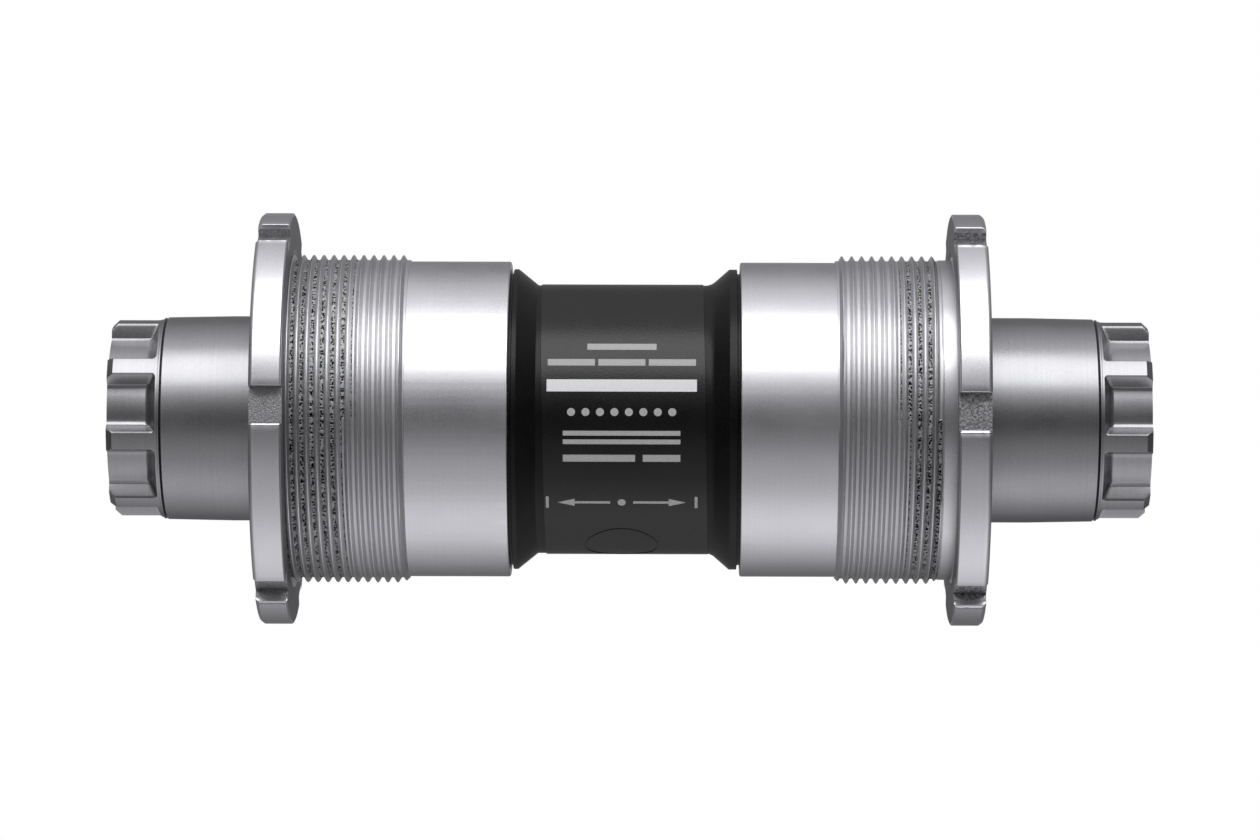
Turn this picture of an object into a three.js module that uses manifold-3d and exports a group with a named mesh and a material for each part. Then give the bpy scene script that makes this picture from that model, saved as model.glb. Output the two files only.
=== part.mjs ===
// Splined-axle bottom bracket: two threaded bearing cups, a lockring, a spacer sleeve and a hollow spindle.
// Millimetres. X runs along the spindle towards the drive side, Z is up, the origin is the spindle's middle.
import * as THREE from "three";
import { ConvexGeometry } from "three/addons/geometries/ConvexGeometry.js";
import { mergeVertices } from "three/addons/utils/BufferGeometryUtils.js";
import Module from "manifold-3d";

const wasm = await Module();
wasm.setup();

// ---- Driving dimensions -------------------------------------------------------------------------

const OUTER_SIDES = 32; // facets round the pieces that show
const INNER_SIDES = 20; // facets round the sealed pieces
const FIT_GAP = 0.3; // clearance between neighbouring pieces
const CUT_PAST = 1; // how far a cutter runs past the face it cuts

const SPINDLE_HALF_LENGTH = 54.75;
const JOURNAL_RADIUS = 10.85;
const STEP_RADIUS = 10.72; // the journal narrows a little towards its steps
const JOURNAL_TAPER_START = 42;
const SPLINE_TIP_RADIUS = 10.5;
const SPLINE_FLOOR_RADIUS = 9.15;
const SPLINE_COUNT = 8;
const SPLINE_FIRST_TOOTH = 31.6; // degrees from -Y towards +Z
const SPLINE_FLOOR_HALF_ANGLE = 12.5;
const SPLINE_TIP_HALF_ANGLE = 17.3;
const SPLINE_FLOOR_END = 50.45; // where the groove floor stops and its run-out ramp starts
const SPLINE_TIP_END = 49.5;
const LEFT_STEP = 48.95; // where the journal ends, in a short cone down to the splined tip
const RIGHT_STEP = 49.2;
const STEP_CONE = 0.5;
const END_CHAMFER = 0.65;
const SPINDLE_BORE_RADIUS = 7; // inside of the M15 x 1 crank-bolt thread
const BORE_MOUTH_RADIUS = 7.7;
const BORE_MOUTH_DEPTH = 1.6;
const SHOULDER_RADIUS = 12;
const SHOULDER_WIDTH = 2;

const THREAD_PITCH = 25.4 / 24;
const THREAD_CREST_RADIUS = 17.4;
const THREAD_ROOT_RADIUS = 16.75;
const THREAD_SIDES = 24;

const CUP_LENGTH = 25.6;
const CUP_BORE_RADIUS = 15.2;
const CUP_BAND_RADIUS = 16.68; // the smooth band inboard of the thread
const CUP_EDGE = 0.25; // chamfer at the cup's inner end
const LEFT_CUP_END = 38.18;
const LEFT_THREAD_LENGTH = 14.9;
const RIGHT_CUP_END = 37.22;
const RIGHT_THREAD_START = 4.7;
const RIGHT_THREAD_LENGTH = 10.8;
const RIGHT_RELIEF_RADIUS = 16.95;
const SOCKET_TEETH = 20;
const SOCKET_DEPTH = 4.8;
const SOCKET_TOOTH_DEPTH = 0.9;
const MOUTH_RADIUS = 14.6; // the cups' outer bore, and the tips of the tool socket's teeth

const FLANGE_RADIUS = 21.8;
const FLANGE_WIDTH = 3.4;
const FLANGE_EDGE = 0.4;
const FLANGE_STANDS_PROUD = 0.12; // the right flange's outer face, beyond the cup's own mouth
const UNDERCUT_RADIUS = 17.8; // the right flange's seat face starts here, outside the thread's crests
const UNDERCUT_DEPTH = 0.15;
const NOTCH_COUNT = 6;
const NOTCH_WIDTH = 3.9;
const NOTCH_DEPTH = 1.4;
const LEFT_NOTCH_PHASE = 3.8; // degrees from -Y towards +Z
const RIGHT_NOTCH_PHASE = 2.4;
const LOCKRING_OUTER_FACE = 39;

const SLEEVE_RADIUS = 14.2;
const SLEEVE_BORE_RADIUS = 13.2;
const SLEEVE_RIM_RADIUS = 15.9;
const LEFT_FLARE = [9.7, 11.8]; // distances from the middle where the flare leaves the tube and meets the rim
const RIGHT_FLARE = [8.45, 10.5];
const SPIGOT_RADIUS = CUP_BORE_RADIUS - FIT_GAP;
const SPIGOT_LENGTH = 3.2;
const LABEL_INNER_RADIUS = 14.24;
const LABEL_OUTER_RADIUS = 14.32;
const LABEL_LEFT = -9.3;
const LABEL_RIGHT = 7.7;

const SEAT_RADIUS = CUP_BORE_RADIUS - FIT_GAP; // outside of everything pressed into a cup
const LIP_RADIUS = JOURNAL_RADIUS + FIT_GAP;

const SEAL_START = 5.2; // the stack below is measured inwards from a cup's outer end
const SEAL_WIDTH = 1.8;
const SEAL_LIP_RISE = 0.7;
const NEEDLE_RACE_START = 7.3;
const NEEDLE_RACE_WIDTH = 7.6;
const NEEDLE_RACE_WALL = 1;
const NEEDLE_LIP_RADIUS = 13;
const NEEDLE_LIP_WIDTH = 0.6;
const NEEDLE_COUNT = 14;
const NEEDLE_RADIUS = 1.2;
const NEEDLE_PITCH_RADIUS = LIP_RADIUS + NEEDLE_RADIUS;
const NEEDLE_SIDES = 6;
const CAGE_END_WIDTH = 0.9;
const CAGE_WALL_HALF = 0.7;

const BALL_RADIUS = 3.175 / 2;
const BALL_COUNT = 14;
const BALL_PITCH_RADIUS = 13;
const BALL_CENTRE = 18.1;
const BALL_RACE_START = 15.2;
const BALL_TRACK_RADIUS = BALL_RADIUS + FIT_GAP;
const BALL_CAGE_INNER_RADIUS = 13.7;
const BALL_CAGE_OUTER_RADIUS = 14.5;
const BALL_CAGE_REACH = [-0.4, 2.8];
const POCKET_SIDES = 8;
const CONE_RADIUS = BALL_CAGE_INNER_RADIUS - FIT_GAP;
const CONE_NOSE = 0.9;
const CONE_LENGTH = 4;

const O_RING_SECTION_RADIUS = 0.28;
const O_RING_RADIUS = 14.6;
const O_RING_CENTRE = 24; // from the cup's outer end
const O_RING_GROOVE_HALF = 0.6;

// ---- Materials ----------------------------------------------------------------------------------

function finish(color, roughness, metalness) {
  return new THREE.MeshStandardMaterial({ color, roughness, metalness });
}

const ALUMINIUM = finish(0xb9bcc0, 0.38, 1);
const STEEL = finish(0x8f9296, 0.35, 1);
const BEARING_STEEL = finish(0xc4c6c9, 0.18, 1);
const BLACK_PLASTIC = finish(0x141517, 0.45, 0);
const LABEL_FILM = finish(0x1b1c1e, 0.35, 0);
const CAGE_PLASTIC = finish(0xcfc8b4, 0.5, 0);
const RUBBER = finish(0x101011, 0.8, 0);

// ---- Geometry helpers ---------------------------------------------------------------------------

const radians = THREE.MathUtils.degToRad;

// A point at an angle from -Y towards +Z, at a distance from the X axis.
function around(x, radius, degrees) {
  const angle = radians(degrees);
  return new THREE.Vector3(x, -radius * Math.cos(angle), radius * Math.sin(angle));
}

// A ring about the X axis. The profile is a closed loop of [x, radius] points, in either direction.
function ring(profile, sides) {
  let area = 0;
  profile.forEach(([x, r], i) => {
    const [nextX, nextR] = profile[(i + 1) % profile.length];
    area += r * nextX - nextR * x;
  });
  const loop = area < 0 ? [...profile].reverse() : [...profile];
  const points = [...loop, loop[0]].map(([x, r]) => new THREE.Vector2(r, x));
  return new THREE.LatheGeometry(points, sides).rotateZ(-Math.PI / 2);
}

// The closed profile of a piece with two ends, each given from the middle outwards.
function outlineOf(right, left) {
  const mirrored = left.map(([x, radius]) => [-x, radius]);
  return [...right, ...mirrored.reverse()];
}

function solid(geometry) {
  const bare = geometry.clone();
  bare.deleteAttribute("normal");
  bare.deleteAttribute("uv");
  const merged = mergeVertices(bare, 1e-3);
  const mesh = new wasm.Mesh({
    numProp: 3,
    vertProperties: merged.attributes.position.array,
    triVerts: new Uint32Array(merged.index.array),
  });
  return new wasm.Manifold(mesh);
}

function geometryOf(made) {
  const { vertProperties, triVerts } = made.getMesh();
  const geometry = new THREE.BufferGeometry();
  geometry.setAttribute("position", new THREE.BufferAttribute(vertProperties, 3));
  geometry.setIndex(new THREE.BufferAttribute(triVerts, 1));
  geometry.computeVertexNormals();
  return geometry;
}

function joined(geometries) {
  const [first, ...others] = geometries.map(solid);
  return others.reduce((made, other) => made.add(other), first);
}

function minus(geometry, cutters) {
  return cutters.reduce((made, cutter) => made.subtract(solid(cutter)), solid(geometry));
}

function mesh(name, geometry, material) {
  const made = new THREE.Mesh(geometry, material);
  made.name = name;
  return made;
}

// Points of an arc of [x, radius] points about a centre, with angles in degrees from +x towards +radius.
function arc(centreX, centreR, radius, from, to, steps) {
  return Array.from({ length: steps + 1 }, (_, i) => {
    const angle = radians(from + ((to - from) * i) / steps);
    return [centreX + radius * Math.cos(angle), centreR + radius * Math.sin(angle)];
  });
}

// ---- Thread -------------------------------------------------------------------------------------

// A solid rod with a right-hand V thread that covers [from, to] with room to spare at both ends.
// Its wall is one spiral strip between a root helix and a crest helix, half a pitch apart.
function threadedRod(from, to) {
  const strip = THREAD_SIDES * (Math.ceil((to - from) / THREAD_PITCH) + 3);
  const start = from - 2 * THREAD_PITCH;
  const end = start + (strip / THREAD_SIDES + 1) * THREAD_PITCH;
  const rootCount = strip + THREAD_SIDES + 1;
  const startHub = rootCount + strip + 1;
  const endHub = startHub + 1;
  const root = (step) => step;
  const crest = (step) => rootCount + step;
  const helixPoint = (radius, lead) => (_, step) => {
    const turn = step / THREAD_SIDES;
    return around(start + (turn + lead) * THREAD_PITCH, radius, -360 * turn);
  };
  const points = [
    ...Array.from({ length: rootCount }, helixPoint(THREAD_ROOT_RADIUS, 0)),
    ...Array.from({ length: strip + 1 }, helixPoint(THREAD_CREST_RADIUS, 0.5)),
    new THREE.Vector3(start, 0, 0),
    new THREE.Vector3(end, 0, 0),
  ];
  const triangles = [];
  const quad = (a, b, c, d) => triangles.push(a, b, c, a, c, d);
  for (let step = 0; step < strip; step += 1) {
    quad(root(step), root(step + 1), crest(step + 1), crest(step));
    const next = step + THREAD_SIDES;
    quad(crest(step), crest(step + 1), root(next + 1), root(next));
  }
  for (let step = 0; step < THREAD_SIDES; step += 1) {
    triangles.push(startHub, root(step + 1), root(step));
    triangles.push(endHub, root(strip + step), root(strip + step + 1));
  }
  triangles.push(startHub, crest(0), root(THREAD_SIDES), startHub, root(0), crest(0));
  triangles.push(endHub, root(strip + THREAD_SIDES), crest(strip), endHub, crest(strip), root(strip));
  const rod = new THREE.BufferGeometry().setFromPoints(points);
  rod.setIndex(triangles);
  return rod;
}

// A threaded tube over [from, to] with chamfered thread ends.
function threadedTube(from, to) {
  const clearRadius = THREAD_CREST_RADIUS + FIT_GAP;
  const chamfer = clearRadius - THREAD_ROOT_RADIUS;
  const envelope = ring(
    [
      [from, CUP_BORE_RADIUS],
      [from, THREAD_ROOT_RADIUS],
      [from + chamfer, clearRadius],
      [to - chamfer, clearRadius],
      [to, THREAD_ROOT_RADIUS],
      [to, CUP_BORE_RADIUS],
    ],
    THREAD_SIDES,
  );
  return geometryOf(solid(threadedRod(from, to)).intersect(solid(envelope)));
}

// ---- Cups and lockring --------------------------------------------------------------------------
// Cup pieces are made along +X from the cup's outer end, as they stand on the left. The right-hand
// group mirrors them, which turns the right-hand thread into the drive side's left-hand thread.

function notchCutters(from, to, phase) {
  return Array.from({ length: NOTCH_COUNT }, (_, i) => {
    const angle = phase + (360 / NOTCH_COUNT) * i;
    const height = 2 * NOTCH_DEPTH;
    const cutter = new THREE.BoxGeometry(to - from + 2 * CUT_PAST, height, NOTCH_WIDTH);
    cutter.translate((from + to) / 2, -(FLANGE_RADIUS - NOTCH_DEPTH + height / 2), 0);
    return cutter.rotateX(-radians(angle));
  });
}

// The notched rim shared by the lockring and the right cup's flange. innerEnd leads from the rim's inner face
// to its bore.
function notchedRim(boreRadius, phase, innerEnd = [[FLANGE_WIDTH, boreRadius]]) {
  const rim = ring(
    [
      [0, boreRadius],
      [0, FLANGE_RADIUS - FLANGE_EDGE],
      [FLANGE_EDGE, FLANGE_RADIUS],
      [FLANGE_WIDTH - FLANGE_EDGE, FLANGE_RADIUS],
      [FLANGE_WIDTH, FLANGE_RADIUS - FLANGE_EDGE],
      ...innerEnd,
    ],
    OUTER_SIDES,
  );
  return geometryOf(minus(rim, notchCutters(0, FLANGE_WIDTH, phase)));
}

function socketCutters() {
  const outerRadius = MOUTH_RADIUS + SOCKET_TOOTH_DEPTH;
  const width = (Math.PI * MOUTH_RADIUS) / SOCKET_TEETH;
  return Array.from({ length: SOCKET_TEETH }, (_, i) => {
    const cutter = new THREE.BoxGeometry(2 * SOCKET_DEPTH, 2 * SOCKET_TOOTH_DEPTH, width);
    cutter.translate(0, -(outerRadius - SOCKET_TOOTH_DEPTH), 0);
    return cutter.rotateX(radians((360 / SOCKET_TEETH) * i));
  });
}

// The tube behind the thread, the smooth band, and the shoulder that the pressed-in stack seats on.
function cupShell(bandStart) {
  return ring(
    [
      [0, MOUTH_RADIUS],
      [SEAL_START - FIT_GAP / 2, MOUTH_RADIUS],
      [SEAL_START - FIT_GAP / 2, CUP_BORE_RADIUS],
      [CUP_LENGTH - CUP_EDGE, CUP_BORE_RADIUS],
      [CUP_LENGTH, CUP_BORE_RADIUS + CUP_EDGE],
      [CUP_LENGTH, CUP_BAND_RADIUS - CUP_EDGE],
      [CUP_LENGTH - CUP_EDGE, CUP_BAND_RADIUS],
      [bandStart, CUP_BAND_RADIUS],
      [0, CUP_BAND_RADIUS],
    ],
    THREAD_SIDES,
  );
}

function leftCup() {
  const blank = joined([cupShell(LEFT_THREAD_LENGTH), threadedTube(0, LEFT_THREAD_LENGTH)]);
  return geometryOf(minus(geometryOf(blank), socketCutters()));
}

function rightCup() {
  const threadEnd = RIGHT_THREAD_START + RIGHT_THREAD_LENGTH;
  const relief = ring(
    [
      [FLANGE_WIDTH / 2, CUP_BORE_RADIUS],
      [FLANGE_WIDTH / 2, RIGHT_RELIEF_RADIUS],
      [RIGHT_THREAD_START + THREAD_PITCH / 2, RIGHT_RELIEF_RADIUS],
      [RIGHT_THREAD_START + THREAD_PITCH / 2, CUP_BORE_RADIUS],
    ],
    THREAD_SIDES,
  );
  const flangeBore = MOUTH_RADIUS + FIT_GAP;
  const undercut = [
    [FLANGE_WIDTH, UNDERCUT_RADIUS],
    [FLANGE_WIDTH - UNDERCUT_DEPTH, RIGHT_RELIEF_RADIUS],
    [FLANGE_WIDTH - UNDERCUT_DEPTH, flangeBore],
  ];
  const flange = notchedRim(flangeBore, RIGHT_NOTCH_PHASE, undercut).translate(-FLANGE_STANDS_PROUD, 0, 0);
  const thread = threadedTube(RIGHT_THREAD_START, threadEnd);
  return geometryOf(joined([cupShell(threadEnd), relief, thread, flange]));
}

// ---- Bearings and seals -------------------------------------------------------------------------

function lipSeal() {
  const end = SEAL_START + SEAL_WIDTH;
  return ring(
    [
      [SEAL_START, SEAT_RADIUS],
      [SEAL_START, LIP_RADIUS + SEAL_LIP_RISE],
      [SEAL_START + SEAL_WIDTH / 3, LIP_RADIUS],
      [SEAL_START + SEAL_WIDTH / 2, LIP_RADIUS],
      [end - SEAL_WIDTH / 4, NEEDLE_LIP_RADIUS],
      [end, NEEDLE_LIP_RADIUS],
      [end, SEAT_RADIUS],
    ],
    INNER_SIDES,
  );
}

function needleRace() {
  const start = NEEDLE_RACE_START;
  const end = start + NEEDLE_RACE_WIDTH;
  const trackRadius = SEAT_RADIUS - NEEDLE_RACE_WALL;
  return ring(
    [
      [start, SEAT_RADIUS],
      [start, NEEDLE_LIP_RADIUS],
      [start + NEEDLE_LIP_WIDTH, NEEDLE_LIP_RADIUS],
      [start + NEEDLE_LIP_WIDTH, trackRadius],
      [end - NEEDLE_LIP_WIDTH, trackRadius],
      [end - NEEDLE_LIP_WIDTH, NEEDLE_LIP_RADIUS],
      [end, NEEDLE_LIP_RADIUS],
      [end, SEAT_RADIUS],
    ],
    INNER_SIDES,
  );
}

// Two end rings with the rollers held between them, as one piece.
function needleCage() {
  const start = NEEDLE_RACE_START + NEEDLE_LIP_WIDTH + FIT_GAP;
  const length = NEEDLE_RACE_WIDTH - 2 * (NEEDLE_LIP_WIDTH + FIT_GAP);
  const endRing = (from) =>
    ring(
      [
        [from, NEEDLE_PITCH_RADIUS - CAGE_WALL_HALF],
        [from, NEEDLE_PITCH_RADIUS + CAGE_WALL_HALF],
        [from + CAGE_END_WIDTH, NEEDLE_PITCH_RADIUS + CAGE_WALL_HALF],
        [from + CAGE_END_WIDTH, NEEDLE_PITCH_RADIUS - CAGE_WALL_HALF],
      ],
      NEEDLE_COUNT,
    );
  const rollers = Array.from({ length: NEEDLE_COUNT }, (_, i) => {
    const rollerLength = length - CAGE_END_WIDTH;
    const roller = new THREE.CylinderGeometry(NEEDLE_RADIUS, NEEDLE_RADIUS, rollerLength, NEEDLE_SIDES);
    const place = around(start + length / 2, NEEDLE_PITCH_RADIUS, (360 / NEEDLE_COUNT) * i);
    return roller.rotateZ(-Math.PI / 2).translate(...place);
  });
  const farRing = endRing(start + length - CAGE_END_WIDTH);
  return geometryOf(joined([endRing(start), farRing, ...rollers]));
}

// The cup's ball track: a concave quarter on the side that the spindle's thrust comes from.
function ballRace() {
  return ring(
    [
      [BALL_RACE_START, SEAT_RADIUS],
      [BALL_RACE_START, LIP_RADIUS + FIT_GAP],
      [BALL_CENTRE - BALL_TRACK_RADIUS, LIP_RADIUS + FIT_GAP],
      ...arc(BALL_CENTRE, BALL_PITCH_RADIUS, BALL_TRACK_RADIUS, 180, 116, 3),
      [BALL_CENTRE - CONE_NOSE, SEAT_RADIUS],
    ],
    INNER_SIDES,
  );
}

function cone() {
  return ring(
    [
      ...arc(BALL_CENTRE, BALL_PITCH_RADIUS, BALL_TRACK_RADIUS, 298, 360, 3),
      [BALL_CENTRE + BALL_TRACK_RADIUS, CONE_RADIUS],
      [BALL_CENTRE + CONE_LENGTH, CONE_RADIUS],
      [BALL_CENTRE + CONE_LENGTH, LIP_RADIUS],
      [BALL_CENTRE + CONE_NOSE, LIP_RADIUS],
    ],
    INNER_SIDES,
  );
}

function ballCentres() {
  return Array.from({ length: BALL_COUNT }, (_, i) =>
    around(BALL_CENTRE, BALL_PITCH_RADIUS, (360 / BALL_COUNT) * i),
  );
}

function ball(place) {
  return new THREE.IcosahedronGeometry(BALL_RADIUS, 1).translate(...place);
}

// A crown-shaped retainer: a ring with one round pocket for each ball.
function ballCage() {
  const [from, to] = BALL_CAGE_REACH.map((reach) => BALL_CENTRE + reach);
  const crown = ring(
    [
      [from, BALL_CAGE_INNER_RADIUS],
      [from, BALL_CAGE_OUTER_RADIUS],
      [to, BALL_CAGE_OUTER_RADIUS],
      [to, BALL_CAGE_INNER_RADIUS],
    ],
    2 * BALL_COUNT,
  );
  const pockets = ballCentres().map((place, i) =>
    new THREE.CylinderGeometry(BALL_TRACK_RADIUS, BALL_TRACK_RADIUS, 2 * BALL_TRACK_RADIUS, POCKET_SIDES)
      .rotateX(-radians((360 / BALL_COUNT) * i))
      .translate(...place),
  );
  return geometryOf(minus(crown, pockets));
}

function oRing() {
  const section = arc(O_RING_CENTRE, O_RING_RADIUS, O_RING_SECTION_RADIUS, 0, 300, 5);
  return ring(section, INNER_SIDES);
}

// ---- Spindle ------------------------------------------------------------------------------------

// A cutter for one groove between two splines, with a ramp at its inner end.
function splineCutter(side, middle) {
  const flankSlope =
    (SPLINE_TIP_HALF_ANGLE - SPLINE_FLOOR_HALF_ANGLE) / (SPLINE_TIP_RADIUS - SPLINE_FLOOR_RADIUS);
  const rampSlope = (SPLINE_FLOOR_END - SPLINE_TIP_END) / (SPLINE_TIP_RADIUS - SPLINE_FLOOR_RADIUS);
  const rise = JOURNAL_RADIUS - SPLINE_FLOOR_RADIUS;
  const topHalfAngle = SPLINE_FLOOR_HALF_ANGLE + flankSlope * rise;
  const pair = (x, radius, halfAngle) => [
    around(side * x, radius, middle - halfAngle),
    around(side * x, radius, middle + halfAngle),
  ];
  return new ConvexGeometry([
    ...pair(SPINDLE_HALF_LENGTH + CUT_PAST, SPLINE_FLOOR_RADIUS, SPLINE_FLOOR_HALF_ANGLE),
    ...pair(SPINDLE_HALF_LENGTH + CUT_PAST, JOURNAL_RADIUS, topHalfAngle),
    ...pair(SPLINE_FLOOR_END, SPLINE_FLOOR_RADIUS, SPLINE_FLOOR_HALF_ANGLE),
    ...pair(SPLINE_FLOOR_END - rampSlope * rise, JOURNAL_RADIUS, topHalfAngle),
  ]);
}

// One end of the spindle's outline, from the middle outwards.
function spindleEnd(stepAt, cupEnd) {
  const coneEnd = cupEnd - BALL_CENTRE - CONE_LENGTH - FIT_GAP;
  return [
    [coneEnd - SHOULDER_WIDTH, JOURNAL_RADIUS],
    [coneEnd - SHOULDER_WIDTH, SHOULDER_RADIUS],
    [coneEnd, SHOULDER_RADIUS],
    [coneEnd, JOURNAL_RADIUS],
    [JOURNAL_TAPER_START, JOURNAL_RADIUS],
    [stepAt, STEP_RADIUS],
    [stepAt + STEP_CONE, SPLINE_TIP_RADIUS],
    [SPINDLE_HALF_LENGTH - END_CHAMFER, SPLINE_TIP_RADIUS],
    [SPINDLE_HALF_LENGTH, SPLINE_TIP_RADIUS - END_CHAMFER],
    [SPINDLE_HALF_LENGTH, BORE_MOUTH_RADIUS],
    [SPINDLE_HALF_LENGTH - BORE_MOUTH_DEPTH, SPINDLE_BORE_RADIUS],
  ];
}

function spindle() {
  const outline = outlineOf(spindleEnd(RIGHT_STEP, RIGHT_CUP_END), spindleEnd(LEFT_STEP, LEFT_CUP_END));
  const grooves = [-1, 1].flatMap((side) =>
    Array.from({ length: SPLINE_COUNT }, (_, i) =>
      splineCutter(side, SPLINE_FIRST_TOOTH + (360 / SPLINE_COUNT) * (i + 0.5)),
    ),
  );
  return geometryOf(minus(ring(outline, OUTER_SIDES), grooves));
}

// ---- Sleeve and label ---------------------------------------------------------------------------

// One end of the sleeve's outline, from its tube outwards.
function sleeveEnd([flareStart, flareEnd], cupEnd) {
  const rimEnd = cupEnd - CUP_LENGTH - FIT_GAP;
  const spigotEnd = cupEnd - CUP_LENGTH + SPIGOT_LENGTH;
  const groove = cupEnd - O_RING_CENTRE;
  const grooveFloor = O_RING_RADIUS - O_RING_SECTION_RADIUS - FIT_GAP;
  return [
    [flareStart, SLEEVE_RADIUS],
    [flareEnd, SLEEVE_RIM_RADIUS],
    [rimEnd, SLEEVE_RIM_RADIUS],
    [rimEnd, SPIGOT_RADIUS],
    [groove - O_RING_GROOVE_HALF, SPIGOT_RADIUS],
    [groove - O_RING_GROOVE_HALF, grooveFloor],
    [groove + O_RING_GROOVE_HALF, grooveFloor],
    [groove + O_RING_GROOVE_HALF, SPIGOT_RADIUS],
    [spigotEnd, SPIGOT_RADIUS],
    [spigotEnd, SLEEVE_BORE_RADIUS],
  ];
}

function sleeve() {
  const right = sleeveEnd(RIGHT_FLARE, RIGHT_CUP_END);
  const left = sleeveEnd(LEFT_FLARE, LEFT_CUP_END);
  return ring(outlineOf(right, left), OUTER_SIDES);
}

function label() {
  return ring(
    [
      [LABEL_LEFT, LABEL_INNER_RADIUS],
      [LABEL_LEFT, LABEL_OUTER_RADIUS],
      [LABEL_RIGHT, LABEL_OUTER_RADIUS],
      [LABEL_RIGHT, LABEL_INNER_RADIUS],
    ],
    OUTER_SIDES,
  );
}

// ---- Assembly -----------------------------------------------------------------------------------

// Everything one cup holds, in the cup's own frame.
function bearingStack(side) {
  const group = new THREE.Group();
  group.add(
    mesh(`${side}_seal`, lipSeal(), RUBBER),
    mesh(`${side}_needle_race`, needleRace(), BEARING_STEEL),
    mesh(`${side}_needle_cage`, needleCage(), BEARING_STEEL),
    mesh(`${side}_ball_race`, ballRace(), BEARING_STEEL),
    mesh(`${side}_ball_cage`, ballCage(), CAGE_PLASTIC),
    mesh(`${side}_cone`, cone(), BEARING_STEEL),
    mesh(`${side}_o_ring`, oRing(), RUBBER),
  );
  ballCentres().forEach((place, i) => {
    const number = String(i + 1).padStart(2, "0");
    group.add(mesh(`${side}_ball_${number}`, ball(place), BEARING_STEEL));
  });
  return group;
}

function leftEnd() {
  const group = bearingStack("left");
  const lockring = mesh("lockring", notchedRim(THREAD_CREST_RADIUS + FIT_GAP, LEFT_NOTCH_PHASE), ALUMINIUM);
  lockring.position.x = LEFT_CUP_END - LOCKRING_OUTER_FACE;
  group.add(mesh("left_cup", leftCup(), ALUMINIUM), lockring);
  group.position.x = -LEFT_CUP_END;
  return group;
}

function rightEnd() {
  const group = bearingStack("right");
  group.add(mesh("right_cup", rightCup(), ALUMINIUM));
  group.scale.x = -1;
  group.position.x = RIGHT_CUP_END;
  return group;
}

const bottomBracket = new THREE.Group();
bottomBracket.add(
  mesh("spindle", spindle(), STEEL),
  mesh("sleeve", sleeve(), BLACK_PLASTIC),
  mesh("label", label(), LABEL_FILM),
  leftEnd(),
  rightEnd(),
);

export default bottomBracket;
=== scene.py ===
"""A splined-axle bottom bracket: two threaded cups, a lockring, a black sleeve and a hollow spindle.

Sizes inside this script are millimetres. They come from the frame's own boxes where the frame has them.
Angles round the X axis run from -Y, which faces the camera, towards +Z.
"""

import math
from collections import namedtuple

import bmesh
import bpy
from mathutils import Euler, Matrix, Vector


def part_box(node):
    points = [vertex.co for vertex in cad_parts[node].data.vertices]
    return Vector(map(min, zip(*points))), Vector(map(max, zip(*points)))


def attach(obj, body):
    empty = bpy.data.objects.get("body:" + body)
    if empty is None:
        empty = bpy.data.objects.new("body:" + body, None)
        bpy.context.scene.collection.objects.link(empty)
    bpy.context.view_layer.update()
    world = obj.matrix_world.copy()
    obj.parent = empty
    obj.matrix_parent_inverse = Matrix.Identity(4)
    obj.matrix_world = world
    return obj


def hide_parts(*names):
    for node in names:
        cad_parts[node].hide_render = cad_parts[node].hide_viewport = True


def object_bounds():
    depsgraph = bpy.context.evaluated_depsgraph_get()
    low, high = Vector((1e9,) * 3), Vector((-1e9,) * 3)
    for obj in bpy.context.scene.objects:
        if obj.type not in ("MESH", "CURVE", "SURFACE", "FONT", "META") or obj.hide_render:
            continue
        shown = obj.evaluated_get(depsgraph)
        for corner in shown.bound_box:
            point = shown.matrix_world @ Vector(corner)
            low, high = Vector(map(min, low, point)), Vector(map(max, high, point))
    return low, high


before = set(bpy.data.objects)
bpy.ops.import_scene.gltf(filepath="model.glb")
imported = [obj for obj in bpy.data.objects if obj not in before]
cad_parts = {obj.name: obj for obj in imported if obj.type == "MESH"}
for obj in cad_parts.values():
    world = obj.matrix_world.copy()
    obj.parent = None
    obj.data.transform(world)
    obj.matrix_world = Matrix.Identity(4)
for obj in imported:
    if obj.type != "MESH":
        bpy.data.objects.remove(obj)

CAD_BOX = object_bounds()
MM = 0.001

# ---- Sizes that the frame does not show ---------------------------------------------------------

JOURNAL_RADIUS = 10.85
JOURNAL_TAPER_START = 42.0
STEP_RADIUS = 10.72  # the journal narrows a little towards its steps
SPINDLE_STEPS = {-1: 48.95, 1: 49.0}  # where the journal ends on the left and right
STEP_GROOVE = (0.24, 0.4)  # width and depth of the V groove beside the step
STEP_BEAD = 0.16  # width of the bead between the V groove and the second, finer line
STEP_CONE = 0.5
SPLINE_COUNT = 8
SPLINE_FIRST_TOOTH = 31.6
SPLINE_TIP_RADIUS = 10.5
SPLINE_FLOOR_RADIUS = 8.85
# A groove's flank from its floor to the tooth's top: half angle from the groove's middle, and share of
# the depth.
SPLINE_FLANK = [(0.0, 1.0), (9.0, 1.0), (11.6, 0.97), (13.5, 0.87), (16.9, 0.11), (17.7, 0.0)]
SPLINE_RAMP = (49.62, 50.45)  # where a groove's run-out ramp meets the tip and the floor
SPINDLE_CHAMFER = 0.65
SPINDLE_BORE_RADIUS = 7.0
BORE_MOUTH_RADIUS = 7.7
SHOULDER_WIDTH = 2.0
SHOULDER_GAP = 0.3  # between a cone's inner end and the spindle's shoulder
BOLT_THREAD = dict(pitch=1.0, crest=6.97, root=7.5, length=14.0)

CUP_PITCH = 25.4 / 24
CREST_RADIUS = 17.38
ROOT_RADIUS = 16.85
CREST_HALF_WIDTH = 0.06
FLANK_WIDTH = 0.3
LEFT_BAND_RADIUS = 16.71
RIGHT_BAND_RADIUS = 16.66
# A thread's start and end from the cup's outer end, and how far the helix is moved along.
LEFT_THREAD = (0.25, 14.9, 0.4)
RIGHT_THREAD = (4.82, 15.62, 0.85)
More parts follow.
